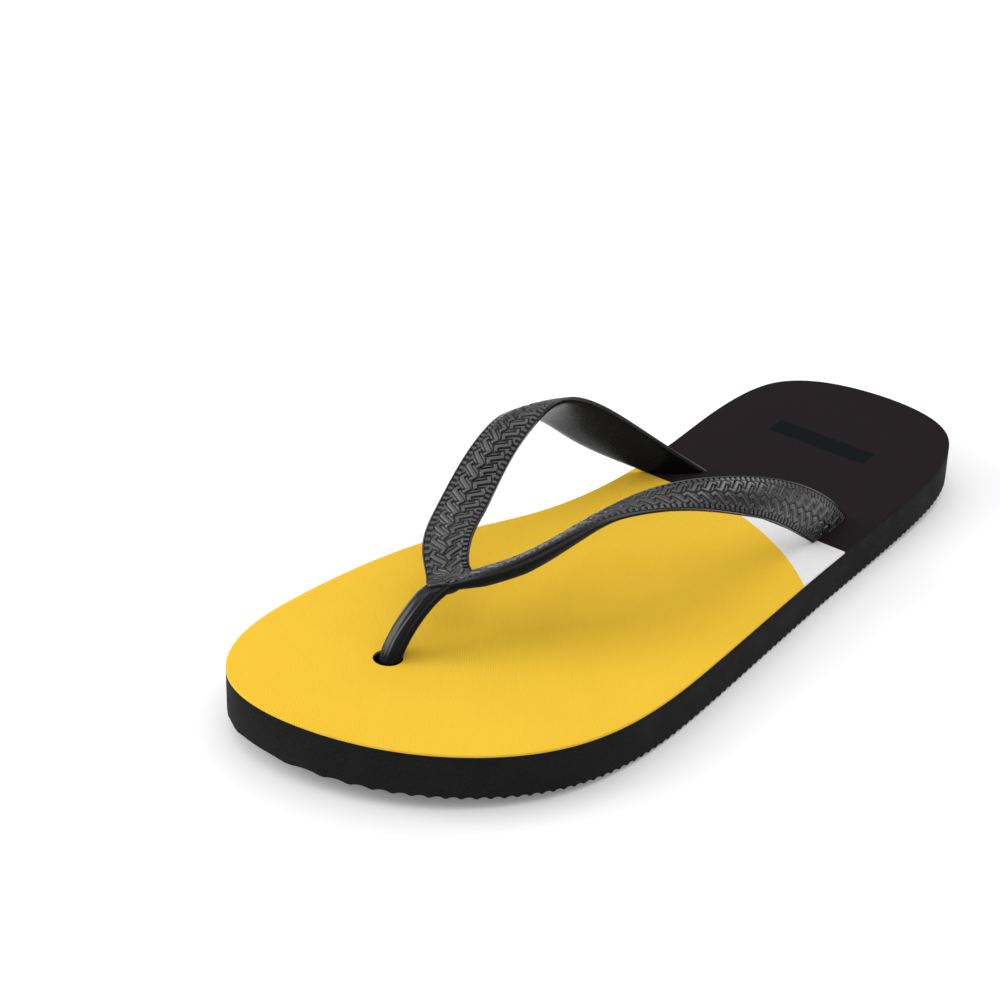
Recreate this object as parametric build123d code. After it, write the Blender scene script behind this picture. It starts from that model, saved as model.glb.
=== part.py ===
from build123d import *
import os

os.makedirs("parts", exist_ok=True)

# A left-foot flip flop, size about EU 42 (270 mm sole).
# The toe points to -Y, the outer side of the foot is +X and Z is up.
# The origin is on the ground, in the middle of the outline.

SOLE_HALF_LENGTH = 135.0
SOLE_BLOCK = 12.8  # foam rubber block with the tread moulded in
LINING = 0.6  # printed fabric bonded to the block
SOLE_TOP = SOLE_BLOCK + LINING
FLAT_FRONT_Y = -34.0  # the sole rests on the ground between these two
FLAT_REAR_Y = 40.0
SPRING = 5.4  # how far toe and heel curve up
TAPER = 0.044  # the sole is this share thicker at the toe and thinner at the heel

# Sole outline: the inner side from the heel to the toe, then the outer side back.
OUTLINE = [
    (-34.5, 119.5),
    (-38.5, 102),
    (-36.5, 69),
    (-38.5, -5),
    (-46.5, -27),
    (-53, -87.5),
    (-42.5, -123),
    (-34, -131),
    (3, -131),
    (31.5, -113),
    (48, -89),
    (52, -32),
    (45, 41.5),
    (42, 87.5),
    (29.5, 128.5),
    (0, 135),
]

# Tread: round flutes across the sole, with a narrow land between them.
FLUTE_PITCH = 2.86
FLUTE_DEPTH = 0.6
FLUTE_LAND = 0.5
FLUTE_COUNT = 96
HALF_BAND = FLUTE_COUNT * FLUTE_PITCH / 2

# The sole bends across this line, under the ball of the foot.
BEND_Y = -55.0

# Strap: a band about 13 mm wide that leaves the yoke in two arms.
STRAP_EDGE = 1.3  # thickness at the rim
STRAP_CROWN = 0.8  # extra height in the middle of the outer face
STRAP_CLEARANCE = 0.05
# Extra height in the middle of the inner face, at even steps from the yoke to the sole.
STRAP_BELLY = [3.0, 3.6, 2.6, 1.4, 1.1, 1.1, 1.1, 1.1, 1.1]
YOKE = (-10.2, -70.5, 28.3)
YOKE_SIZE = (6.2, 6.6)
YOKE_THICK = 4.4
YOKE_TILT = (7.0, -14.0)
YOKE_EDGE = 1.6
# Front and rear rim of each arm's outer face, from the yoke to the sole.
OUTER_FRONT = [(-6.5, -73.5, 33.5), (7, -57, 41.5), (15, -35.5, 46.5), (23.5, -18, 46)]
OUTER_FRONT += [(29, -4, 42), (33, 8, 37), (34.5, 20.5, 30), (35.5, 32, 21.5)]
OUTER_FRONT += [(34.5, 44.5, 12)]
OUTER_REAR = [(-8, -66.5, 33.5), (-4.5, -59, 34), (0, -49, 35.5), (7.5, -27, 43)]
OUTER_REAR += [(15.5, -8, 47), (22, 6.5, 46), (27, 21.5, 42), (31.5, 37, 35)]
OUTER_REAR += [(34, 50.5, 25.5), (33.5, 64.5, 12)]
INNER_FRONT = [(-15.5, -74.5, 31), (-22.5, -69, 34), (-31, -54.5, 40), (-37, -35, 48.5)]
INNER_FRONT += [(-41, -18.5, 51.5), (-44.5, -6, 47.5), (-45.5, 6.5, 40), (-43, 19, 29.5)]
INNER_FRONT += [(-37.5, 32, 20), (-27.5, 45, 12)]
INNER_REAR = [(-8.5, -64.5, 34.5), (-13.5, -59, 37), (-20.5, -45, 39.5), (-27, -26.5, 47)]
INNER_REAR += [(-30, -10.5, 53.5), (-32.5, 2, 53.5), (-32, 15, 48), (-28.5, 29, 37.5)]
INNER_REAR += [(-23.5, 44.5, 24), (-15, 58, 12)]

# Toe post, from its plug up to the yoke.
POST_D = 6.2
POST_PATH = [(-12, -92.8, 9), (-11.5, -93, 14), (-11.6, -87.8, 21.7), (-11.1, -82.3, 27)]
POST_PATH += [(-10.4, -75.8, 30.8)]
POST_HOLE_D = 8.4

# Plugs: round heads sunk into the bottom of the sole, on short stems.
PLUG_D = 16.0
PLUG_INSET = 1.5
PLUG_THICK = 3.4
RECESS_PLAY = 0.4
STEM_LONG = 12.0
STEM_THICK = 3.0
STEM_PLAY = 0.25
OUTER_ANCHOR = (33.2, 53.5)
INNER_ANCHOR = (-21.0, 51.0)
OUTER_ANCHOR_TURN = 94.0
INNER_ANCHOR_TURN = 45.0
TOE_ANCHOR = (-12.0, -92.8)


def rise(y):
    """Height of the sole's underside above the ground."""
    if y < FLAT_FRONT_Y:
        return SPRING * ((FLAT_FRONT_Y - y) / (SOLE_HALF_LENGTH + FLAT_FRONT_Y)) ** 2
    if y > FLAT_REAR_Y:
        return SPRING * ((y - FLAT_REAR_Y) / (SOLE_HALF_LENGTH - FLAT_REAR_Y)) ** 2
    return 0.0


def side_point(y, up, z):
    """A point of the side view, up above the flat, at sole height z."""
    return (0, y, up + z * (1 - TAPER * y / SOLE_HALF_LENGTH))


def side_line(z):
    """The side view of the sole's curve at sole height z."""
    flat_front = side_point(FLAT_FRONT_Y, 0, z)
    flat_rear = side_point(FLAT_REAR_Y, 0, z)
    toe_middle = side_point((FLAT_FRONT_Y - HALF_BAND) / 2, 0, z)
    heel_middle = side_point((FLAT_REAR_Y + HALF_BAND) / 2, 0, z)
    toe_end = side_point(-HALF_BAND, rise(-HALF_BAND), z)
    heel_end = side_point(HALF_BAND, rise(HALF_BAND), z)
    toe = Bezier(toe_end, toe_middle, flat_front)
    heel = Bezier(flat_rear, heel_middle, heel_end)
    return [toe, Line(flat_front, flat_rear), heel]


def tread_line():
    """The fluted underside, seen from the side."""
    edges = []
    for i in range(FLUTE_COUNT):
        y0 = i * FLUTE_PITCH - HALF_BAND
        y1 = y0 + FLUTE_LAND
        y2 = y0 + FLUTE_PITCH
        ym = (y1 + y2) / 2
        crest = (0, ym, rise(ym) + FLUTE_DEPTH)
        edges.append(Line((0, y0, rise(y0)), (0, y1, rise(y1))))
        edges.append(ThreePointArc((0, y1, rise(y1)), crest, (0, y2, rise(y2))))
    return edges


def layer(lower, z1):
    """A layer from the given lower line up to sole height z1, wider than the sole."""
    upper = side_line(z1)
    ends = [Line(lower[0] @ 0, upper[0] @ 0), Line(lower[-1] @ 1, upper[-1] @ 1)]
    face = Face(Wire(lower + upper + ends))
    return Pos(-70, 0, 0) * extrude(face, 140, dir=(1, 0, 0))


def arm_section(front, rear, along, belly):
    """One cross-section of an arm, between a front and a rear rim point."""
    middle = (front + rear) / 2
    across = (front - rear).normalized()
    outward = across.cross(along).normalized()
    half = (front - rear).length / 2
    inner = -STRAP_EDGE
    plane = Plane(middle, x_dir=across, z_dir=across.cross(outward))
    top = ThreePointArc((-half, 0), (0, STRAP_CROWN), (half, 0))
    low = ThreePointArc((half, inner), (0, inner - belly), (-half, inner))
    sides = [Line((half, 0), (half, inner)), Line((-half, inner), (-half, 0))]
    return plane * make_face([top, low] + sides)


def arm(front_points, rear_points, side):
    """An arm of the strap, from the yoke down to the sole."""
    front = Spline(*front_points)
    rear = Spline(*rear_points)
    sections = []
    for i, belly in enumerate(STRAP_BELLY):
        u = i / (len(STRAP_BELLY) - 1)
        along = ((front % u) + (rear % u)) * side
        sections.append(arm_section(front @ u, rear @ u, along, belly))
    return loft(sections)


def stem(anchor, turn, shape, z0, z1):
    """An upright stem of the given shape at an anchor."""
    return Pos(anchor[0], anchor[1], z0) * Rot(0, 0, turn) * extrude(shape, z1 - z0)


def plug_head(anchor):
    """The round head that holds a stem under the sole."""
    z = rise(anchor[1]) + PLUG_INSET
    head = Pos(anchor[0], anchor[1], z) * extrude(Circle(PLUG_D / 2), PLUG_THICK)
    return fillet(head.edges().filter_by(GeomType.CIRCLE), 0.8)


def recess(anchor):
    """The round pocket for a plug head."""
    top = rise(anchor[1]) + PLUG_INSET + PLUG_THICK + STRAP_CLEARANCE
    return Pos(anchor[0], anchor[1], -1) * extrude(Circle(PLUG_D / 2 + RECESS_PLAY), top + 1)


def save(solid, name):
    """Write one sub-part under its node name."""
    solid.label = name
    export_step(solid, f"parts/{name}.step")


# Sole: the block and its lining, each split where the sole bends.
prism = Pos(0, 0, -5) * extrude(Face(Wire([Spline(*OUTLINE, periodic=True)])), 40)
wide_slot = SlotOverall(STEM_LONG + 2 * STEM_PLAY, STEM_THICK + 2 * STEM_PLAY)
holes = [
    recess(OUTER_ANCHOR),
    recess(INNER_ANCHOR),
    recess(TOE_ANCHOR),
    stem(OUTER_ANCHOR, OUTER_ANCHOR_TURN, wide_slot, 2, 30),
    stem(INNER_ANCHOR, INNER_ANCHOR_TURN, wide_slot, 2, 30),
    stem(TOE_ANCHOR, 0, Circle(POST_HOLE_D / 2), 2, 30),
]
block = (prism & layer(tread_line(), SOLE_BLOCK)) - holes
lining = (prism & layer(side_line(SOLE_BLOCK), SOLE_TOP)) - holes
bend = Plane(origin=(0, BEND_Y, 0), z_dir=(0, 1, 0))
save(split(block, bisect_by=bend, keep=Keep.BOTTOM), "sole_block_fore")
save(split(block, bisect_by=bend, keep=Keep.TOP), "sole_block_rear")
save(split(lining, bisect_by=bend, keep=Keep.BOTTOM), "lining_fore")
save(split(lining, bisect_by=bend, keep=Keep.TOP), "lining_rear")

# Strap: two arms joined at the yoke, with a stem and a plug head on each arm.
arms = arm(OUTER_FRONT, OUTER_REAR, 1) + arm(INNER_FRONT, INNER_REAR, -1)
yoke = extrude(Ellipse(*YOKE_SIZE), YOKE_THICK)
yoke = fillet(yoke.edges().filter_by(GeomType.ELLIPSE), YOKE_EDGE)
arms += Pos(*YOKE) * Rot(*YOKE_TILT, 0) * yoke
arms -= layer(side_line(-10), SOLE_TOP + STRAP_CLEARANCE)
flat_slot = SlotOverall(STEM_LONG, STEM_THICK)
strap = arms
for anchor, turn in ((OUTER_ANCHOR, OUTER_ANCHOR_TURN), (INNER_ANCHOR, INNER_ANCHOR_TURN)):
    strap += stem(anchor, turn, flat_slot, PLUG_INSET + 1, SOLE_TOP + 1)
    strap += plug_head(anchor)
save(strap, "strap")

# Toe post: a round post that leans back from the toe hole to the yoke.
post_path = Spline(*POST_PATH, tangents=[(0, 0, 1), (0.1, 0.85, 0.4)])
post = sweep(Plane(POST_PATH[0]) * Circle(POST_D / 2), path=post_path)
post += stem(TOE_ANCHOR, 0, Circle(POST_D / 2), PLUG_INSET + 3, POST_PATH[0][2])
post += plug_head(TOE_ANCHOR)
save(post - strap, "toe_post")
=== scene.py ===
import math

import bmesh
import bpy
import numpy as np
from mathutils import Matrix, Vector


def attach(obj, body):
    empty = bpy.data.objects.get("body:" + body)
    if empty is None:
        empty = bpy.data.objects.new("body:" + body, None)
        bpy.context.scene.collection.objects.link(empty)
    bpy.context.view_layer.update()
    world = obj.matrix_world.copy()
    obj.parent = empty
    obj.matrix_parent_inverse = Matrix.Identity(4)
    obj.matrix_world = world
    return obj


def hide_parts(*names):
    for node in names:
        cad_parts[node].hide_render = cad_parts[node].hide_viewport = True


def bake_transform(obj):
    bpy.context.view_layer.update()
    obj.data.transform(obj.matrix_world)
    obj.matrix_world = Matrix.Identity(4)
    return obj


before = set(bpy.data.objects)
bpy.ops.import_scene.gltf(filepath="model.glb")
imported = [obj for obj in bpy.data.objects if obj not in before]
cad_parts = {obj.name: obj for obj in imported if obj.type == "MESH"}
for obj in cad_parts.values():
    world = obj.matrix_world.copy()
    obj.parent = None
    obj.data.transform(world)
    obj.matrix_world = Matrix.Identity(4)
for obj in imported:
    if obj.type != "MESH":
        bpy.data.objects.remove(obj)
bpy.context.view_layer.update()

MM = 0.001

# The left-foot flip flop: the toe points to -Y, the outer side is +X and Z is up.
# Shapes are worked out in mm and become metres in Builder.object.

# ---------------------------------------------------------------- sole sizes
HALF_LENGTH = 135.0
SOLE_BLOCK = 12.8  # foam block with the tread
SOLE_TOP = 13.4  # block and lining
TAPER = 0.044  # the sole is this share thicker at the toe and thinner at the heel
FLAT_FRONT, FLAT_REAR = -34.0, 40.0  # the sole rests on the ground between these
SPRING = 5.4  # how far toe and heel curve up
FLUTE_PITCH, FLUTE_DEPTH, FLUTE_LAND, FLUTE_COUNT = 2.86, 0.6, 0.5, 96
HALF_BAND = FLUTE_COUNT * FLUTE_PITCH / 2
FLARE = 0.35  # the block's wall leans out by this much at the tread
OUTLINE = [
    (-34.5, 119.5), (-38.5, 102), (-36.5, 69), (-38.5, -5), (-46.5, -27), (-53, -87.5),
    (-42.5, -123), (-34, -131), (3, -131), (31.5, -113), (48, -89), (52, -32),
    (45, 41.5), (42, 87.5), (29.5, 128.5), (0, 135),
]
OUTLINE_POINTS = 24000
INWARD_X, INWARD_Y = 2.0, 0.9  # inward at y is towards (INWARD_X, y * INWARD_Y)

# ---------------------------------------------------------------- strap sizes
# Front and rear rim of each arm's outer face, from the yoke to the sole.
OUTER_FRONT = [
    (-6.5, -73.5, 33.5), (7, -57, 41.5), (15, -35.5, 46.5), (23.5, -18, 46),
    (29, -4, 42), (33, 8, 37), (34.5, 20.5, 30), (35.5, 32, 21.5), (34.5, 44.5, 12),
]
OUTER_REAR = [
    (-8, -66.5, 33.5), (-4.5, -59, 34), (0, -49, 35.5), (7.5, -27, 43), (15.5, -8, 47),
    (22, 6.5, 46), (27, 21.5, 42), (31.5, 37, 35), (34, 50.5, 25.5), (33.5, 64.5, 12),
]
INNER_FRONT = [
    (-15.5, -74.5, 31), (-22.5, -69, 34), (-31, -54.5, 40), (-37, -35, 48.5),
    (-41, -18.5, 51.5), (-44.5, -6, 47.5), (-45.5, 6.5, 40), (-43, 19, 29.5),
    (-37.5, 32, 20), (-27.5, 45, 12),
]
INNER_REAR = [
    (-8.5, -64.5, 34.5), (-13.5, -59, 37), (-20.5, -45, 39.5), (-27, -26.5, 47),
    (-30, -10.5, 53.5), (-32.5, 2, 53.5), (-32, 15, 48), (-28.5, 29, 37.5),
    (-23.5, 44.5, 24), (-15, 58, 12),
]
# The inner arm's face runs on past the yoke to a tongue over the toe post.
TONGUE_FRONT = [(-11.9, -76.9, 31.8), (-13.2, -76.5, 31.5)]
TONGUE_REAR = [(-10.7, -76.6, 32.1), (-7.3, -74.3, 33.3), (-5.3, -71, 34.2), (-5.3, -67.2, 34.7)]
TONGUE_SHARE = 12  # the tongue has this part of the arm's number of rows
STRAP_EDGE = 1.3  # thickness at the rim
STRAP_CROWN = 0.8  # extra height in the middle of the outer face
# Extra height in the middle of the inner face, at even steps from the yoke to the sole.
STRAP_BELLY = [3.0, 3.6, 2.6, 1.4, 1.1, 1.1, 1.1, 1.1, 1.1]
BELLY_PASSES = 40
FULL_HALF_WIDTH, LEAST_SIZE = 5.0, 0.15  # a narrower arm is thinner too, down to this share
RIM_LIP, LIP_FROM = 0.35, 0.86  # the inner face rises by this much outside this share
# INNER_EMBOSS also gives the smooth inner face nearly the dark groove colour in the strap
# material: painted shade on the underside.
INNER_COLUMNS, INNER_EMBOSS = 17, 0.12
CUT_GAP = 0.04  # between the arms' flat ends and the lining
YOKE_TILT, YOKE_LEAN = math.radians(7), math.radians(-14)
YOKE_PADS = [((-10.6, -70.0, 30.6), (5.2, 5.6, 2.2)), ((-11.6, -76.4, 31.6), (1.3, 1.0, 0.9))]
PAD_ROWS, PAD_COLUMNS, PAD_EMBOSS = 24, 40, 0.4

# ---------------------------------------------------------------- embossed pattern
# Two rows of Z-shaped bars between ticked borders, drawn on a strap 13.2 mm wide.
PATTERN_HALF = 6.6
EMBOSS_DEPTH = 0.55
BAR_PITCH, BAR_LENGTH, BAR_HALF, BAR_TIP = 4.8, 5.2, 0.52, 2.35
BAR_SLANT = math.radians(38)
BAR_ROW = 2.25  # from the strap's middle to the middle of a row of bars
HOOK_LENGTH, HOOK_SHIFT, HOOK_THIN = 1.7, (0.72, -0.50), 0.9
HOOK_TURN = math.radians(-32)
SHOULDER = 0.10  # half the width of a bar's sloping side
GROOVE, GROOVE_SPREAD, GROOVE_DEPTH = 0.42, 0.80, 0.60
FIELD_HEIGHT = 0.66
FIELD_EDGE, BORDER_FROM, TICKS_TO, RIM_FROM = 4.45, 4.55, 6.12, 6.15
BORDER_SOFT = 0.12
TICK_PITCH, TICK_HEIGHT, RIM_HEIGHT = 1.9, 0.95, 0.8
PLAIN_END, PLAIN_SOFT, PLAIN_HEIGHT = 2.2, 0.6, 0.75  # the last bit of each arm has no pattern

# ---------------------------------------------------------------- toe post and plugs
POST = [
    (-12, -92.8, 9), (-11.5, -93, 14), (-11.6, -87.8, 21.7), (-11.1, -82.3, 27),
    (-10.4, -75.8, 30.8), (-9.8, -72.5, 31.8),
]
POST_R, HOLE_R = 3.1, 4.2
POST_FOOT, POST_OVERLAP = 4.0, 0.2  # the upright part starts in the plug and laps the bent part
POST_ROWS, POST_COLUMNS, POST_EMBOSS = 70, 72, 0.25
POST_FRONT = math.pi / 2
# Fine mould lines: two along the front of the post and one along its back.
MOULD_LINES = [(POST_FRONT - 0.42, 0.16), (POST_FRONT + 0.42, 0.16), (-POST_FRONT, 0.1)]
MOULD_LINE_WIDTH = 0.06
POST_DISH, POST_DISH_WIDTH = 0.10, 0.40  # the front is a little flatter between them
# The post's top is trimmed by a plane under the tongue.
TRIM_POINT, TRIM_NORMAL, TRIM_GAP = (-16.5, -74.5, 31.0), np.array((-0.236, -0.124, 0.964)), 0.35
TRIM_FROM, TRIM_SOFT = 0.72, 0.16
TOE, OUTER, INNER = (-12.0, -92.8), (33.2, 53.5), (-21.0, 51.0)
OUTER_TURN, INNER_TURN = 94.0, 45.0
PLUG_R, RECESS_R, PLUG_INSET, PLUG_THICK = 8.0, 8.4, 1.5, 3.4
RECESS_GAP = 0.05
STEM_HALF_LONG, STEM_R, STEM_POINTS = 4.5, 1.5, 48
STEM_BOTTOM, STEM_TOP = 3.0, SOLE_TOP + 0.8
AXIS_R = 0.01  # a lathed surface closes at this radius


# ---------------------------------------------------------------- curves
def spline(points, periodic=False):
    """Cubic spline through points, by chord length; returns f(u) for u in 0..1."""
    p = np.array(points, float)
    if periodic:
        p = np.vstack([p, p[:1]])
    h = np.linalg.norm(np.diff(p, axis=0), axis=1)
    t = np.r_[0, np.cumsum(h)]
    n = len(p)
    a = np.zeros((n, n))
    b = np.zeros((n, p.shape[1]))
    slope = np.diff(p, axis=0) / h[:, None]
    for i in range(1, n - 1):
        a[i, i - 1], a[i, i], a[i, i + 1] = h[i - 1], 2 * (h[i - 1] + h[i]), h[i]
        b[i] = 6 * (slope[i] - slope[i - 1])
    if periodic:
        a[0, 0], a[0, 1], a[0, n - 2] = 2 * (h[0] + h[-1]), h[0], h[-1]
        b[0] = 6 * (slope[0] - slope[-1])
        a[-1, 0], a[-1, -1] = 1, -1
    else:
        a[0, 0], a[0, 1] = 1, -1
        a[-1, -1], a[-1, -2] = 1, -1
    m = np.linalg.solve(a, b)

    def at(u):
        x = np.clip(np.asarray(u, float), 0, 1) * t[-1]
        i = np.clip(np.searchsorted(t, x, side="right") - 1, 0, n - 2)
        l, r, w = (x - t[i])[:, None], (t[i + 1] - x)[:, None], h[i][:, None]
        return ((m[i] * r ** 3 + m[i + 1] * l ** 3) / (6 * w)
                + (p[i] / w - m[i] * w / 6) * r
                + (p[i + 1] / w - m[i + 1] * w / 6) * l)
    return at


def unit(vectors):
    """Every row scaled to length 1."""
    return vectors / np.linalg.norm(vectors, axis=1)[:, None]


def smooth(x):
    """0 below 0, 1 above 1 and an even S in between."""
    x = np.clip(x, 0, 1)
    return x * x * (3 - 2 * x)


def circle(count):
    """Even angles round a circle."""
    return np.linspace(0, 2 * math.pi, count, endpoint=False)


def rise(y):
    """Height of the sole's underside above the ground."""
    y = np.asarray(y, float)
    return (SPRING * (np.maximum(0, FLAT_FRONT - y) / (HALF_LENGTH + FLAT_FRONT)) ** 2
            + SPRING * (np.maximum(0, y - FLAT_REAR) / (HALF_LENGTH - FLAT_REAR)) ** 2)


def level(y, z):
    """Height of a layer that is z above the underside where the sole is flat."""
    return rise(y) + z * (1 - TAPER * np.asarray(y, float) / HALF_LENGTH)


def block_top(y):
    return level(y, SOLE_BLOCK)


def sole_top(y):
    return level(y, SOLE_TOP)


def tread(y):
    """Height of the fluted underside."""
    f = np.mod(np.asarray(y, float) + HALF_BAND, FLUTE_PITCH) - FLUTE_LAND
    chord = FLUTE_PITCH - FLUTE_LAND
    radius = (chord * chord / 4 + FLUTE_DEPTH ** 2) / (2 * FLUTE_DEPTH)
    arc = np.sqrt(np.maximum(0, radius ** 2 - (f - chord / 2) ** 2)) - (radius - FLUTE_DEPTH)
    return rise(y) + np.where(f > 0, np.maximum(arc, 0), 0)


# ---------------------------------------------------------------- mesh tools
MERGE_DISTANCE = 2e-7  # metres
LEAST_EDGE = 1e-7  # metres


class Builder:
    """Collects parts of a mesh, in mm, with a share of embossing for every point."""

    def __init__(self):
        self.v, self.f, self.n, self.extra = [], [], 0, []

    def add(self, verts, faces, extra=0.0):
        verts = np.asarray(verts, float).reshape(-1, 3)
        self.v.append(verts)
        self.f += [tuple(i + self.n for i in face) for face in faces]
        self.extra.append(np.broadcast_to(np.ravel(extra), len(verts)))
        self.n += len(verts)

    def object(self, name, material, smooth_angle):
        mesh = bpy.data.meshes.new(name)
        points = np.vstack(self.v)
        mesh.from_pydata((points * MM).tolist(), [], self.f)
        rest = mesh.attributes.new("rest", "FLOAT_VECTOR", "POINT")
        rest.data.foreach_set("vector", points.astype(np.float32).ravel())
        raised = mesh.attributes.new("emboss", "FLOAT", "POINT")
        raised.data.foreach_set("value", np.concatenate(self.extra).astype(np.float32))
        # Points in the same place become one, and faces with no area go.
        work = bmesh.new()
        work.from_mesh(mesh)
        bmesh.ops.remove_doubles(work, verts=work.verts, dist=MERGE_DISTANCE)
        bmesh.ops.dissolve_degenerate(work, edges=work.edges, dist=LEAST_EDGE)
        work.to_mesh(mesh)
        work.free()
        mesh.polygons.foreach_set("use_smooth", [True] * len(mesh.polygons))
        mesh.update()
        mesh.set_sharp_from_angle(angle=math.radians(smooth_angle))
        mesh.materials.append(material)
        obj = bpy.data.objects.new(name, mesh)
        bpy.context.scene.collection.objects.link(obj)
        return obj


def grid_faces(rows, cols, wrap=False, flip=False):
    """Four-sided faces of a grid of points; wrap joins the last column to the first."""
    faces = []
    last = cols if wrap else cols - 1
    for i in range(rows - 1):
        for j in range(last):
            a, b = i * cols + j, i * cols + (j + 1) % cols
            q = (a, b, b + cols, a + cols)
            faces.append(q[::-1] if flip else q)
    return faces


def lathe(builder, centre, profile, count=96, flip=False):
    """Surface of revolution about the vertical through centre; profile is (radius, z)."""
    t = circle(count)
    rings = []
    for r, z in profile:
        z = z(centre[1] + r * np.sin(t)) if callable(z) else np.full(count, z)
        rings.append(np.c_[centre[0] + r * np.cos(t), centre[1] + r * np.sin(t), z])
    builder.add(np.vstack(rings), grid_faces(len(profile), count, True, flip))


# ---------------------------------------------------------------- sole outline
def outline_sides():
    """The outer and the inner side of the outline, each from the toe to the heel."""
    dense = spline(OUTLINE, True)(np.linspace(0, 1, OUTLINE_POINTS + 1)[:-1])
    dense = np.roll(dense, -int(dense[:, 1].argmin()), axis=0)
    heel = int(dense[:, 1].argmax())
    return dense[: heel + 1], np.vstack([dense[heel:], dense[:1]])[::-1]


SIDE_OUT, SIDE_IN = outline_sides()
TIP_STEP = 0.35  # between rows at the blunt tips, along the outline
TIP_GAP = 0.001  # the first and the last row are this far from the very tip
LEAST_GAP, LEAST_HOLE_GAP = 0.0015, 0.0012  # closer rows are left out
HOLE_ROWS = 61


def outline_rows(step):
    """Row positions along the sole: even, and closer where the outline runs across it."""
    most = min(0.95, step / TIP_STEP) if step < TIP_STEP else 0.9
    rows = [np.arange(-HALF_BAND, HALF_BAND, step)]
    for side in (SIDE_OUT, SIDE_IN):
        s = np.r_[0, np.cumsum(np.linalg.norm(np.diff(side, axis=0), axis=1))]
        at = np.interp(np.arange(0, s[-1], TIP_STEP), s, side[:, 1])
        slope = np.abs(np.gradient(at)) / TIP_STEP
        rows.append(at[slope < most])
    y = np.unique(np.round(np.concatenate(rows), 4))
    y0, y1 = SIDE_OUT[0, 1], SIDE_OUT[-1, 1]
    y = y[(y > y0 + 2 * TIP_GAP) & (y < y1 - 2 * TIP_GAP)]
    keep = np.r_[True, np.diff(y) > LEAST_GAP]
    return np.r_[y0 + TIP_GAP, y[keep], y1 - TIP_GAP]


def rows_with_holes(step, holes):
    """Row positions that also follow the round holes."""
    half_circle = np.sin(np.linspace(-math.pi / 2, math.pi / 2, HOLE_ROWS))
    rows = [outline_rows(step)] + [cy + r * half_circle for _, cy, r in holes]
    rows = np.unique(np.concatenate(rows))
    return rows[np.r_[True, np.diff(rows) > LEAST_HOLE_GAP]]


def edge_points(rows):
    """Outline points at the rows, with inward normals, for the outer and the inner side."""
    found = []
    for side in (SIDE_OUT, SIDE_IN):
        x = np.interp(rows, side[:, 1], side[:, 0])
        run = np.gradient(side, axis=0)
        square = unit(np.c_[-run[:, 1], run[:, 0]])
        n = unit(np.stack([np.interp(rows, side[:, 1], square[:, i]) for i in (0, 1)], axis=1))
        inward = np.c_[np.full(len(rows), INWARD_X), rows * INWARD_Y] - np.c_[x, rows]
        n *= np.sign((n * inward).sum(1))[:, None]
        found.append((np.c_[x, rows], n))
    return found


def ends(rows, inset):
    """Inner and outer end point of every row, moved in by inset."""
    (outer, outer_n), (inner, inner_n) = edge_points(rows)
    return inner + inner_n * inset, outer + outer_n * inset


def wall(builder, rows, rings):
    """Rings round the outline; each ring is (inset, z(y))."""
    out = []
    for inset, z in rings:
        inner, outer = ends(rows, inset)
        q = np.vstack([outer, inner[::-1]])
        out.append(np.c_[q, z(q[:, 1])])
    builder.add(np.vstack(out), grid_faces(len(rings), len(out[0]), True, True))


def sheet(builder, left, right, holes, z, cols, flip):
    """A surface z(y) between the left and right end points of every row, with round holes."""
    cache, verts, faces = {}, [], []

    def row(j, active):
        """First point numbers of the stretches of row j between the holes it crosses."""
        key = (j, active)
        if key not in cache:
            a, b = left[j], right[j]
            xs = [a[0]]
            for cx, cy, r in active:
                half = math.sqrt(max(0.0, r * r - (a[1] * 0.5 + b[1] * 0.5 - cy) ** 2))
                xs += [cx - half, cx + half]
            xs.append(b[0])
            parts = []
            for k in range(0, len(xs), 2):
                x = np.linspace(xs[k], xs[k + 1], cols)
                y = a[1] + (b[1] - a[1]) * (x - a[0]) / max(1e-9, b[0] - a[0])
                parts.append(len(verts))
                verts.extend(np.c_[x, y, z(y)].tolist())
            cache[key] = parts
        return cache[key]

    for j in range(len(left) - 1):
        mid = (left[j][1] + right[j][1] + left[j + 1][1] + right[j + 1][1]) / 4
        active = tuple(sorted(h for h in holes if abs(mid - h[1]) < h[2]))
        for a, b in zip(row(j, active), row(j + 1, active)):
            for c in range(cols - 1):
                q = (a + c, a + c + 1, b + c + 1, b + c)
                faces.append(q[::-1] if flip else q)
    builder.add(verts, faces)


# ---------------------------------------------------------------- materials
def new_material(name):
    material = bpy.data.materials.new(name)
    material.use_nodes = True
    return material, material.node_tree, material.node_tree.nodes["Principled BSDF"]


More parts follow.
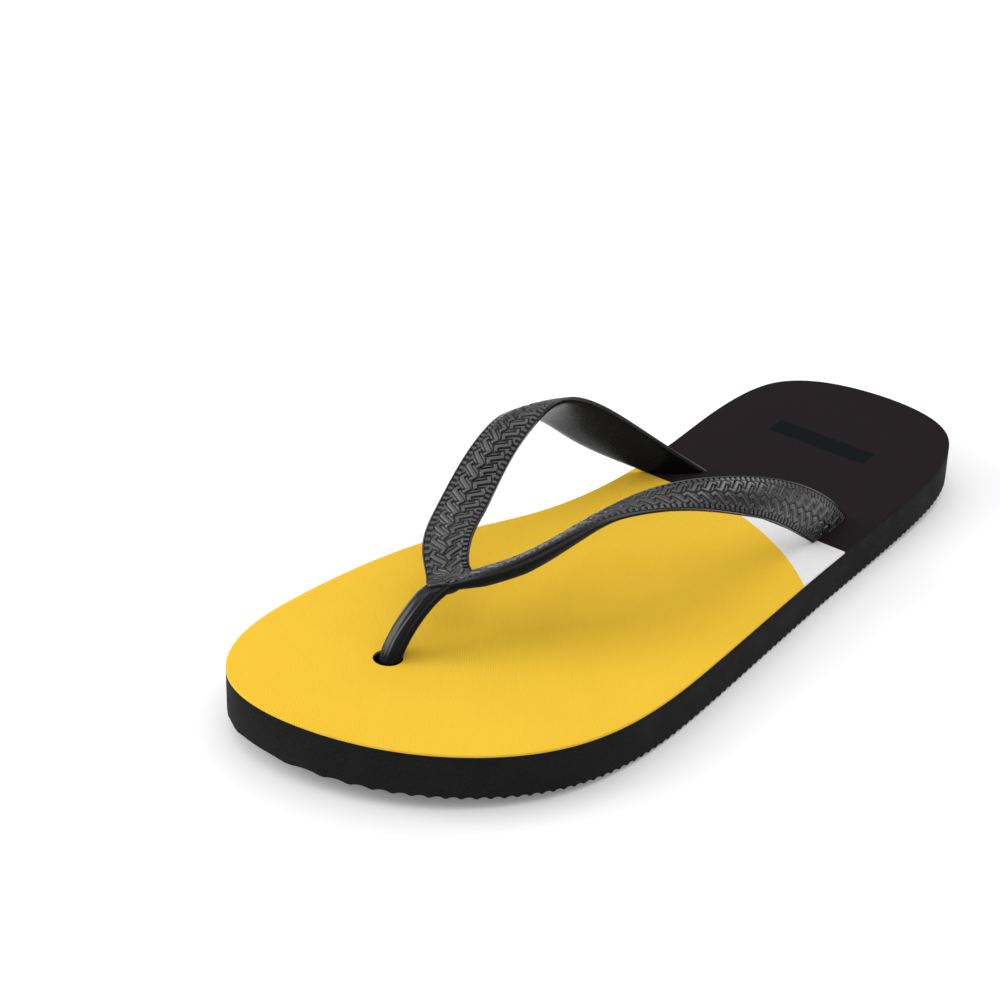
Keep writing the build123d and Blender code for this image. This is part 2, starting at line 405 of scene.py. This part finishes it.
class Nodes:
    """Small helper to write node maths as calls."""

    def __init__(self, tree):
        self.t = tree

    def put(self, node, index, value):
        socket = node.inputs[index]
        if isinstance(value, bpy.types.NodeSocket):
            self.t.links.new(value, socket)
        else:
            socket.default_value = value

    def math(self, op, a, b=0.0, c=0.0):
        n = self.t.nodes.new("ShaderNodeMath")
        n.operation = op
        for i, v in enumerate((a, b, c)):
            self.put(n, i, v)
        return n.outputs[0]

    def attribute(self, name):
        n = self.t.nodes.new("ShaderNodeAttribute")
        n.attribute_name = name
        return n.outputs

    def split(self, vector):
        n = self.t.nodes.new("ShaderNodeSeparateXYZ")
        self.put(n, 0, vector)
        return n.outputs

    def scaled(self, vector, factor):
        n = self.t.nodes.new("ShaderNodeVectorMath")
        n.operation = "SCALE"
        self.put(n, 0, vector)
        self.put(n, "Scale", factor)
        return n.outputs[0]

    def noise(self, vector, scale, detail, rough):
        n = self.t.nodes.new("ShaderNodeTexNoise")
        self.put(n, "Vector", vector)
        self.put(n, "Scale", scale)
        self.put(n, "Detail", detail)
        self.put(n, "Roughness", rough)
        return n.outputs[0]

    def voronoi(self, vector, scale):
        n = self.t.nodes.new("ShaderNodeTexVoronoi")
        self.put(n, "Vector", vector)
        self.put(n, "Scale", scale)
        return n.outputs[0]

    def mix(self, fac, a, b):
        n = self.t.nodes.new("ShaderNodeMix")
        n.data_type = "RGBA"
        self.put(n, 0, fac)
        self.put(n, 6, a)
        self.put(n, 7, b)
        return n.outputs[2]

    def step(self, value, edge, width):
        """0 below edge, 1 above it, soft over width."""
        n = self.t.nodes.new("ShaderNodeMapRange")
        n.interpolation_type = "SMOOTHSTEP"
        self.put(n, 0, value)
        self.put(n, 1, edge - width / 2)
        self.put(n, 2, edge + width / 2)
        return n.outputs[0]

    def range(self, value, a, b, c, d):
        """The range a..b spread over c..d."""
        n = self.t.nodes.new("ShaderNodeMapRange")
        for i, v in enumerate((value, a, b, c, d)):
            self.put(n, i, v)
        return n.outputs[0]

    def bump(self, height, distance, strength):
        n = self.t.nodes.new("ShaderNodeBump")
        self.put(n, "Height", height)
        self.put(n, "Distance", distance)
        self.put(n, "Strength", strength)
        return n.outputs[0]


def linear(r, g, b):
    """An sRGB colour as linear RGBA."""
    return tuple(c / 12.92 if c <= 0.04045 else ((c + 0.055) / 1.055) ** 2.4
                 for c in (r, g, b)) + (1.0,)


def grey(value):
    return linear(value, value, value)


# The print on the lining, in mm on the sole.
YELLOW, WHITE = linear(0.955, 0.775, 0.228), grey(0.935)
BLACK, PATCH = linear(0.134, 0.110, 0.118), linear(0.070, 0.086, 0.092)
DISC_X, DISC_Y, DISC_R = -15.5, -50.5, 94.5
BLACK_FROM, BLACK_SLOPE = 42.98, 0.0526
PATCH_PLACE, PATCH_HALF, PATCH_TURN = (4.4, 96.9), (18.4, 4.0), (0.999, 0.035)
PRINT_SOFT = 0.25
# The knit: the direction across its ribs, and the pitch of the ribs and of the courses.
KNIT_X, KNIT_Y, RIB_PITCH, COURSE_PITCH = 0.743, 0.669, 0.66, 0.9
# Light that bounces off the print is kept nearly neutral, as in a studio shot.
BOUNCE_YELLOW, BOUNCE_WHITE = linear(0.50, 0.49, 0.45), grey(0.55)
BOUNCE_BLACK = linear(0.13, 0.12, 0.12)


def lining_material():
    """Knitted fabric: a yellow disc over the toe, white beyond it, black at the heel."""
    m, nt, bsdf = new_material("printed_fabric")
    k = Nodes(nt)
    pos = k.attribute("rest")["Vector"]
    x, y, _ = k.split(pos)
    dx = k.math("SUBTRACT", x, DISC_X)
    dy = k.math("SUBTRACT", y, DISC_Y)
    dist = k.math("SQRT", k.math("ADD", k.math("MULTIPLY", dx, dx), k.math("MULTIPLY", dy, dy)))
    outside = k.step(dist, DISC_R, PRINT_SOFT)
    line = k.math("SUBTRACT", y, k.math("MULTIPLY_ADD", x, BLACK_SLOPE, BLACK_FROM))
    black = k.step(line, 0.0, PRINT_SOFT)
    # a plain patch where the heel has its label
    cosine, sine = PATCH_TURN
    along = k.math("MULTIPLY_ADD", x, cosine, k.math("MULTIPLY", y, sine))
    upon = k.math("MULTIPLY_ADD", y, cosine, k.math("MULTIPLY", x, -sine))
    past = [k.step(k.math("ABSOLUTE", k.math("SUBTRACT", place, middle)), half, PRINT_SOFT)
            for place, middle, half in zip((along, upon), PATCH_PLACE, PATCH_HALF)]
    patch = k.math("SUBTRACT", 1.0, k.math("MAXIMUM", past[0], past[1]))
    colour = k.mix(outside, YELLOW, WHITE)
    colour = k.mix(black, colour, BLACK)
    colour = k.mix(patch, colour, PATCH)
    # the knit: fine ribs that run diagonally, crossed by wavy courses
    diagonal = k.math("ADD", k.math("MULTIPLY", x, KNIT_X), k.math("MULTIPLY", y, KNIT_Y))
    ribs = k.math("SINE", k.math("MULTIPLY", diagonal, 2 * math.pi / RIB_PITCH))
    shift = k.math("MULTIPLY", ribs, 0.9)
    courses = k.math("SINE", k.math("MULTIPLY_ADD", y, 2 * math.pi / COURSE_PITCH, shift))
    knit = k.math("MULTIPLY_ADD", courses, 0.35, ribs)
    fibre = k.noise(pos, 3.0, 6.0, 0.7)
    cloud = k.noise(pos, 0.055, 3.0, 0.5)
    dirt = k.math("SUBTRACT", 1.0, k.step(k.voronoi(pos, 0.11), 0.022, 0.02))
    tone = k.math("MULTIPLY_ADD", knit, 0.014, k.range(fibre, 0.3, 0.7, 0.975, 1.025))
    tone = k.math("MULTIPLY", tone, k.range(cloud, 0.35, 0.65, 0.985, 1.01))
    tone = k.math("MULTIPLY_ADD", dirt, -0.10, tone)
    bounce = k.mix(outside, BOUNCE_YELLOW, BOUNCE_WHITE)
    bounce = k.mix(black, bounce, BOUNCE_BLACK)
    path = nt.nodes.new("ShaderNodeLightPath")
    shown = k.mix(path.outputs["Is Camera Ray"], bounce, k.scaled(colour, tone))
    k.put(bsdf, "Base Color", shown)
    k.put(bsdf, "Roughness", k.range(fibre, 0.3, 0.7, 0.78, 0.92))
    k.put(bsdf, "Specular IOR Level", 0.06)
    height = k.math("MULTIPLY_ADD", fibre, 0.6, knit)
    k.put(bsdf, "Normal", k.bump(height, 0.00004, 0.4))
    return m


def foam_material():
    """Matt black closed-cell foam with a fine grain and a few bright specks."""
    m, nt, bsdf = new_material("foam_rubber")
    k = Nodes(nt)
    pos = k.attribute("rest")["Vector"]
    cells = k.voronoi(pos, 2.2)
    grain = k.noise(pos, 1.6, 8.0, 0.75)
    patch = k.noise(pos, 0.09, 3.0, 0.5)
    shade = k.range(grain, 0.3, 0.7, 0.0, 1.0)
    colour = k.mix(shade, linear(0.066, 0.066, 0.067), linear(0.115, 0.115, 0.117))
    spark = k.step(k.noise(pos, 3.4, 2.0, 0.5), 0.69, 0.05)
    colour = k.mix(k.math("MULTIPLY", spark, 0.35), colour, grey(0.33))
    k.put(bsdf, "Base Color", colour)
    k.put(bsdf, "Roughness", k.range(patch, 0.3, 0.7, 0.72, 0.86))
    k.put(bsdf, "Specular IOR Level", 0.12)
    fine = k.math("MULTIPLY_ADD", cells, 0.7, grain)
    k.put(bsdf, "Normal", k.bump(fine, 0.00022, 0.55))
    return m


def strap_material(name, rough, low, high):
    """Satin black rubber, glossier where the pattern stands up, with painted shade: darker in the
    grooves, lighter on the raised tops.
    """
    m, nt, bsdf = new_material(name)
    k = Nodes(nt)
    pos = k.attribute("rest")["Vector"]
    raised = k.attribute("emboss")["Fac"]
    grain = k.noise(pos, 2.2, 6.0, 0.7)
    haze = k.noise(pos, 0.16, 4.0, 0.6)
    # painted shade: the colour runs from dark in the grooves to light on the raised tops
    groove_shade = k.range(raised, 0.05, 0.85, 0.0, 1.0)
    colour = k.mix(groove_shade, linear(low, low, low * 1.01), linear(high, high, high * 1.01))
    colour = k.mix(k.range(haze, 0.45, 0.75, 0.0, 0.08), colour, grey(high * 1.25))
    k.put(bsdf, "Base Color", colour)
    r = k.math("MULTIPLY_ADD", k.range(haze, 0.3, 0.7, -1.0, 1.0), 0.03, rough)
    r = k.math("MULTIPLY_ADD", k.range(grain, 0.3, 0.7, -1.0, 1.0), 0.04, r)
    k.put(bsdf, "Roughness", r)
    k.put(bsdf, "Specular IOR Level", k.range(raised, 0.2, 0.6, 0.35, 0.85))
    k.put(bsdf, "Normal", k.bump(grain, 0.00005, 0.35))
    return m


# ---------------------------------------------------------------- sole pieces
RECESSES = [(x, y, RECESS_R) for x, y in (OUTER, INNER, TOE)]
TOE_HOLE = [(TOE[0], TOE[1], HOLE_R)]
HOLE_FLOOR = 5.0  # the toe hole's wall ends this far above the underside
WALL_FOOT, FOOT_ROUND = 0.3, 0.09  # the wall turns in over this height at the tread
BLOCK_ROUND, LINING_ROUND = 0.14, 0.30  # rounding of the upper edges
ROW_STEP, BLOCK_COLUMNS = FLUTE_PITCH / 10, 14
HIDDEN_SKIP = 6  # the block's top is hidden and has only every sixth row
LINING_STEP, LINING_COLUMNS = 0.8, 40


def moved(surface, up):
    """The surface z(y) moved up."""
    return lambda y: surface(y) + up


def make_sole_block():
    b = Builder()
    rows = rows_with_holes(ROW_STEP, RECESSES)
    foot = moved(tread, WALL_FOOT)
    rings = [(BLOCK_ROUND, block_top), (0.04, moved(block_top, -0.04)),
             (0.0, moved(block_top, -BLOCK_ROUND))]
    for f in (0.2, 0.4, 0.6, 0.8):
        rings.append((-FLARE * f, lambda y, f=f: block_top(y) * (1 - f) + foot(y) * f))
    rings += [(-FLARE, foot), (FOOT_ROUND - FLARE, moved(tread, FOOT_ROUND)),
              (WALL_FOOT - FLARE, tread)]
    wall(b, rows, rings)
    left, right = ends(rows, WALL_FOOT - FLARE)
    sheet(b, left, right, RECESSES, tread, BLOCK_COLUMNS, True)
    left, right = ends(rows[::HIDDEN_SKIP], BLOCK_ROUND)
    sheet(b, left, right, TOE_HOLE, block_top, BLOCK_COLUMNS, False)
    for x, y, r in RECESSES:
        top = float(rise(y)) + PLUG_INSET + PLUG_THICK + RECESS_GAP
        lathe(b, (x, y), [(r, tread), (r, top), (AXIS_R, top)], flip=True)
    lathe(b, TOE, [(HOLE_R, block_top), (HOLE_R, float(rise(TOE[1])) + HOLE_FLOOR)], flip=True)
    return b.object("sole_block", foam_material(), smooth_angle=38)


def make_lining():
    b = Builder()
    rows = rows_with_holes(LINING_STEP, TOE_HOLE)
    wall(b, rows, [(LINING_ROUND, sole_top), (0.16, moved(sole_top, -0.02)),
                   (0.05, moved(sole_top, -0.09)), (0.0, moved(sole_top, -0.22)),
                   (0.0, block_top), (0.4, block_top)])
    left, right = ends(rows, LINING_ROUND)
    sheet(b, left, right, TOE_HOLE, sole_top, LINING_COLUMNS, False)
    lathe(b, TOE, [(HOLE_R, sole_top), (HOLE_R, block_top)], flip=True)
    return b.object("lining", lining_material(), smooth_angle=50)


# ---------------------------------------------------------------- strap
def stroke(px, py, centre, length, angle, half_width):
    """Distance outside a straight stroke with square ends (negative inside)."""
    c, s = math.cos(angle), math.sin(angle)
    dx, dy = px - centre[0], py - centre[1]
    return np.maximum(np.abs(c * dx + s * dy) - length / 2, np.abs(-s * dx + c * dy) - half_width)


def bars(s, q):
    """Distance outside the nearest Z-shaped bar of one row, whose middle is q = 0."""
    base = np.round((s - q * math.tan(BAR_SLANT)) / BAR_PITCH)
    dist = np.full(s.shape, np.inf)
    hook_x = BAR_TIP * math.sin(BAR_SLANT) + HOOK_SHIFT[0]
    hook_y = BAR_TIP * math.cos(BAR_SLANT) + HOOK_SHIFT[1]
    for n in (-1, 0, 1):
        px = s - (base + n) * BAR_PITCH
        bar = stroke(px, q, (0, 0), BAR_LENGTH, math.pi / 2 - BAR_SLANT, BAR_HALF)
        dist = np.minimum(dist, bar)
        for sign in (-1, 1):
            at = (sign * hook_x, sign * hook_y)
            hook = stroke(px, q, at, HOOK_LENGTH, HOOK_TURN, BAR_HALF * HOOK_THIN)
            dist = np.minimum(dist, hook)
    return dist


def emboss(s, v, half):
    """Height of the outer face's pattern, 0 to 1. s runs along the arm and v across it."""
    w = v * PATTERN_HALF / half
    edge = np.abs(w)
    dist = np.minimum(bars(s, w - BAR_ROW), bars(s - BAR_PITCH / 2, -w - BAR_ROW))
    dist = np.maximum(dist, edge - FIELD_EDGE)
    field = FIELD_HEIGHT + (1 - FIELD_HEIGHT) * smooth((SHOULDER - dist) / (2 * SHOULDER))
    groove = smooth(1 - np.abs(dist - SHOULDER - GROOVE / 2) / (GROOVE * GROOVE_SPREAD))
    high = field - GROOVE_DEPTH * groove
    ticks = smooth((np.cos(2 * math.pi * s / TICK_PITCH) + 0.35) / 0.5)
    border = smooth((edge - BORDER_FROM) / BORDER_SOFT)
    zone = smooth((TICKS_TO - edge) / BORDER_SOFT)
    rim = smooth((edge - RIM_FROM) / BORDER_SOFT) * RIM_HEIGHT
    return np.clip(high * (1 - border) + border * (ticks * zone * TICK_HEIGHT + rim), 0, 1)


def rim_points(front_points, rear_points, along_n, tongue):
    """Steps u along an arm with its two rims there; u is below 0 on the tongue."""
    u = np.linspace(0, 1, along_n)
    if not tongue:
        return u, spline(front_points)(u), spline(rear_points)(u)
    u = np.r_[np.linspace(0, 1, along_n // TONGUE_SHARE)[:-1] - 1, u]
    rims = []
    for lead, points in zip(tongue, (front_points, rear_points)):
        steps = np.linalg.norm(np.diff(np.array(lead + points, float), axis=0), axis=1)
        start = steps[: len(lead)].sum() / steps.sum()
        at = np.where(u < 0, (u + 1) * start, start + u * (1 - start))
        rims.append(spline(lead + points)(at))
    return u, rims[0], rims[1]


def cut_flat(ring, u):
    """Cut an arm's rows off just above the lining; returns how many rows are left."""
    gap = ring[..., 2] - sole_top(ring[..., 1]) - CUT_GAP
    under = (gap < 0) & (u > 0.8)[:, None]
    first = under.argmax(0)
    for c, k in enumerate(first):
        share = gap[k - 1, c] / (gap[k - 1, c] - gap[k, c])
        ring[k:, c] = ring[k - 1, c] + share * (ring[k, c] - ring[k - 1, c])
    return int(first.max()) + 1


def arm(builder, front_points, rear_points, side, tongue=None):
    """An arm of the strap from the yoke to the sole; side is 1 for the outer arm, else -1."""
    across_n, along_n = ((110, 1250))
    u, front, rear = rim_points(front_points, rear_points, along_n, tongue)
    mid = (front + rear) / 2
    half = np.linalg.norm(front - rear, axis=1) / 2
    across = unit(front - rear)
    s_mid = np.r_[0, np.cumsum(np.linalg.norm(np.diff(mid, axis=0), axis=1))]
    along = unit(np.gradient(mid, s_mid, axis=0))
    outward = unit(np.cross(across, along) * side)
    if tongue:
        s_mid -= s_mid[np.searchsorted(u, 0)]
    size = np.clip(half / FULL_HALF_WIDTH, LEAST_SIZE, 1)

    def face(v, lift):
        """Points at shares v of the half width, lifted off the plane of the rims."""
        return (mid[:, None] + across[:, None] * np.outer(half, v)[..., None]
                + outward[:, None] * lift[..., None])

    # the embossed outer face, with the pattern square to the arm
    v = np.linspace(-1, 1, across_n)
    shear = (across * along).sum(1)
    true_half = np.sqrt(1 - shear ** 2) * half
    s = s_mid[:, None] + np.outer(shear * half, v)
    h = emboss(s, np.outer(true_half, v), true_half[:, None])
    patterned = smooth((s_mid[-1] - PLAIN_END - s_mid) / PLAIN_SOFT)[:, None]
    h = h * patterned + PLAIN_HEIGHT * (1 - patterned)
    sunk = EMBOSS_DEPTH * (1 - h) * smooth((1 - np.abs(v)) / 0.04) * size[:, None]
    top = face(v, np.outer(STRAP_CROWN * size, 1 - v ** 2) - sunk)

    # the smooth inner face, from the rear rim back to the front rim
    v = np.linspace(1, -1, INNER_COLUMNS)
    belly = np.interp(np.clip(u, 0, 1), np.linspace(0, 1, len(STRAP_BELLY)), STRAP_BELLY) * size
    for _ in range(BELLY_PASSES):
        belly[1:-1] = (belly[:-2] + belly[2:] + 2 * belly[1:-1]) / 4
    lip = RIM_LIP * smooth((np.abs(v) - LIP_FROM) / (1 - LIP_FROM))
    low = face(v, lip - STRAP_EDGE - np.outer(belly, (1 - v ** 2) ** 0.8))

    ring = np.concatenate([top, low], axis=1)
    raised = np.concatenate([h, np.full((len(u), INNER_COLUMNS), INNER_EMBOSS)], axis=1)
    count = ring.shape[1]
    rows = cut_flat(ring, u)
    builder.add(ring[:rows], grid_faces(rows, count, True, side < 0), raised[:rows])
    for k, flip in ((0, side > 0), (rows - 1, side < 0)):
        fan = [(i, (i + 1) % count, count) for i in range(count)]
        if flip:
            fan = [(b, a, c) for a, b, c in fan]
        builder.add(np.vstack([ring[k], ring[k].mean(0)]), fan)


def turned(a, b, angle):
    """The pair (a, b) turned by angle."""
    c, s = math.cos(angle), math.sin(angle)
    return c * a - s * b, s * a + c * b


def ellipsoid(builder, centre, radii):
    """A pad of the yoke, leaned and tilted with it."""
    t = np.linspace(0, math.pi, PAD_ROWS)[:, None]
    a = circle(PAD_COLUMNS)[None]
    x = (radii[0] * np.sin(t) * np.cos(a)).ravel()
    y = (radii[1] * np.sin(t) * np.sin(a)).ravel()
    z = (radii[2] * np.cos(t) * np.ones_like(a)).ravel()
    z, x = turned(z, x, YOKE_LEAN)
    y, z = turned(y, z, YOKE_TILT)
    builder.add(np.c_[x, y, z] + centre, grid_faces(PAD_ROWS, PAD_COLUMNS, True, True), PAD_EMBOSS)


def plug(builder, centre):
    """A round plug head under the sole, with a ring moulded into its face."""
    r, z = PLUG_R, float(rise(centre[1])) + PLUG_INSET
    top = z + PLUG_THICK
    lathe(builder, centre, [
        (AXIS_R, z + 0.35), (1.2, z + 0.3), (1.5, z + 0.02), (1.8, z), (r - 1.9, z),
        (r - 1.7, z + 0.18), (r - 1.3, z + 0.18), (r - 1.1, z), (r - 0.8, z),
        (r - 0.24, z + 0.24), (r, z + 0.8), (r, top - 0.8), (r - 0.24, top - 0.24),
        (r - 0.8, top), (AXIS_R, top),
    ])


def stem(builder, centre, turn):
    """The wall of a flat upright stem, turned by turn degrees."""
    a = circle(STEM_POINTS)
    x = np.sign(np.cos(a)) * STEM_HALF_LONG + STEM_R * np.cos(a)
    px, py = turned(x, STEM_R * np.sin(a), math.radians(turn))
    verts = [np.c_[centre[0] + px, centre[1] + py, np.full(STEM_POINTS, z)]
             for z in (STEM_BOTTOM, STEM_TOP)]
    builder.add(np.vstack(verts), grid_faces(2, STEM_POINTS, True))


def make_strap():
    b = Builder()
    arm(b, OUTER_FRONT, OUTER_REAR, 1)
    arm(b, INNER_FRONT, INNER_REAR, -1, (TONGUE_FRONT, TONGUE_REAR))
    for centre, radii in YOKE_PADS:
        ellipsoid(b, centre, radii)
    for centre, turn in ((OUTER, OUTER_TURN), (INNER, INNER_TURN)):
        plug(b, centre)
        stem(b, centre, turn)
    rubber = strap_material("strap_rubber", rough=0.27, low=0.006, high=0.205)
    return b.object("strap_moulding", rubber, smooth_angle=60)


# ---------------------------------------------------------------- toe post
def make_post():
    b = Builder()
    u = np.linspace(0, 1, POST_ROWS)
    path = spline(POST)(u)
    tangent = unit(np.gradient(path, axis=0))
    right = unit(np.cross(tangent, [0, -1.0, 0.001]))
    front = np.cross(right, tangent)
    a = circle(POST_COLUMNS)
    r = np.full(POST_COLUMNS, POST_R)
    for line, height in MOULD_LINES:
        off = np.mod(a - line + math.pi, 2 * math.pi) - math.pi
        r += height * np.exp(-(off / MOULD_LINE_WIDTH) ** 2)
    r -= POST_DISH * np.exp(-((a - POST_FRONT) / POST_DISH_WIDTH) ** 8)
    ring = (path[:, None] + right[:, None] * (r * np.cos(a))[None, :, None]
            + front[:, None] * (r * np.sin(a))[None, :, None])
    above = np.maximum(0, (ring - TRIM_POINT) @ TRIM_NORMAL + TRIM_GAP)
    above *= smooth((u - TRIM_FROM) / TRIM_SOFT)[:, None]
    ring = ring - above[..., None] * TRIM_NORMAL
    b.add(ring, grid_faces(POST_ROWS, POST_COLUMNS, True), POST_EMBOSS)
    plug(b, TOE)
    foot = float(rise(TOE[1])) + POST_FOOT
    lathe(b, TOE, [(POST_R, foot), (POST_R, POST[0][2] + POST_OVERLAP)], POST_COLUMNS)
    rubber = strap_material("post_rubber", rough=0.25, low=0.02, high=0.06)
    return b.object("toe_post_moulding", rubber, smooth_angle=60)


# ---------------------------------------------------------------- bodies
BEND_Z = 0.0139  # metres, as are the places below
SOLE_BEND = (Vector((0, -0.085, BEND_Z)), Vector((0, -0.025, BEND_Z)))
# Two places along the strap, near the yoke and further back; the loop below uses them only as a
# sign to bake the strap in place.
STRAP_BEND = (Vector((0, -0.072, BEND_Z)), Vector((0, 0.005, BEND_Z)))

for obj, nodes, slot, bend in (
        (make_sole_block(), ("sole_block_fore", "sole_block_rear"), "foam_rubber", SOLE_BEND),
        (make_lining(), ("lining_fore", "lining_rear"), "printed_fabric", SOLE_BEND),
        (make_strap(), ("strap",), "strap_rubber", STRAP_BEND),
        (make_post(), ("toe_post",), "strap_rubber", None)):
    if bend:
        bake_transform(obj)
    else:
        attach(obj, "forefoot")
    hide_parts(*nodes)

# ---------------------------------------------------------------- stage, in metres
scene = bpy.context.scene
floor_mat, _, bsdf = new_material("floor")
bsdf.inputs["Base Color"].default_value = (0.93, 0.93, 0.93, 1)
bsdf.inputs["Roughness"].default_value = 0.9
bsdf.inputs["Specular IOR Level"].default_value = 0.1
bsdf.inputs["Emission Color"].default_value = (1, 1, 1, 1)
bsdf.inputs["Emission Strength"].default_value = 0.15
bpy.ops.mesh.primitive_plane_add(size=12, location=(0, 0, -0.0002))
floor = bpy.context.object
floor.name = "floor"
floor.data.materials.append(floor_mat)

# A dome of light, bright overhead and dim at the horizon.
DOME_POWER, DOME_GAIN, DOME_LEAST, BACKDROP = 1.1, 0.80, 0.11, 0.95
world = bpy.data.worlds.new("studio")
scene.world = world
world.use_nodes = True
world_nodes = world.node_tree.nodes
sky = Nodes(world.node_tree)
coord = world_nodes.new("ShaderNodeTexCoord")
height = sky.math("MAXIMUM", sky.split(coord.outputs["Generated"])[2], 0.0)
glow = sky.math("MULTIPLY_ADD", sky.math("POWER", height, DOME_POWER), DOME_GAIN, DOME_LEAST)
# The camera sees a plain pale backdrop behind the floor.
seen = world_nodes.new("ShaderNodeLightPath").outputs["Is Camera Ray"]
glow = sky.math("MAXIMUM", glow, sky.math("MULTIPLY", seen, BACKDROP))
back = world_nodes["Background"]
back.inputs["Color"].default_value = (1, 1, 1, 1)
sky.put(back, "Strength", glow)

LIGHT_TARGET = Vector((0, 0, 0.02))
LIGHTS = [
    # name, place, side length, power in watts
    ("softbox", (0.0, 0.05, 1.0), 1.3, 2.9),
    ("fill", (-0.65, -0.65, 0.50), 0.6, 4.6),
    ("rim", (0.10, 0.90, 0.60), 0.5, 1.5),
]
for name, place, size, power in LIGHTS:
    data = bpy.data.lights.new(name, "AREA")
    data.shape = "RECTANGLE"
    data.size = data.size_y = size
    data.energy = power
    light = bpy.data.objects.new(name, data)
    light.location = place
    aim = LIGHT_TARGET - Vector(place)
    light.rotation_euler = aim.to_track_quat("-Z", "Y").to_euler()
    scene.collection.objects.link(light)

scene.view_settings.view_transform = "Standard"
scene.view_settings.look = "None"
scene.view_settings.exposure = 0.0

# Camera: above and in front of the outer side, at the fitted distance and lens.
CAMERA_PLACE = (0.28485, -0.37844, 0.30383)
CAMERA_AXES = ((0.74321, 0.66905, 0.0), (-0.33505, 0.37219, 0.86558), (0.57912, -0.64331, 0.50078))
CAMERA_ROLL = math.radians(1.306)
cam_data = bpy.data.cameras.new("camera")
cam_data.sensor_width = 36.0
cam_data.lens = 66.07
cam_data.clip_start = 0.01
camera = bpy.data.objects.new("camera", cam_data)
scene.collection.objects.link(camera)
turn = Matrix(CAMERA_AXES).transposed().to_4x4() @ Matrix.Rotation(CAMERA_ROLL, 4, "Z")
camera.matrix_world = Matrix.Translation(CAMERA_PLACE) @ turn
scene.camera = camera
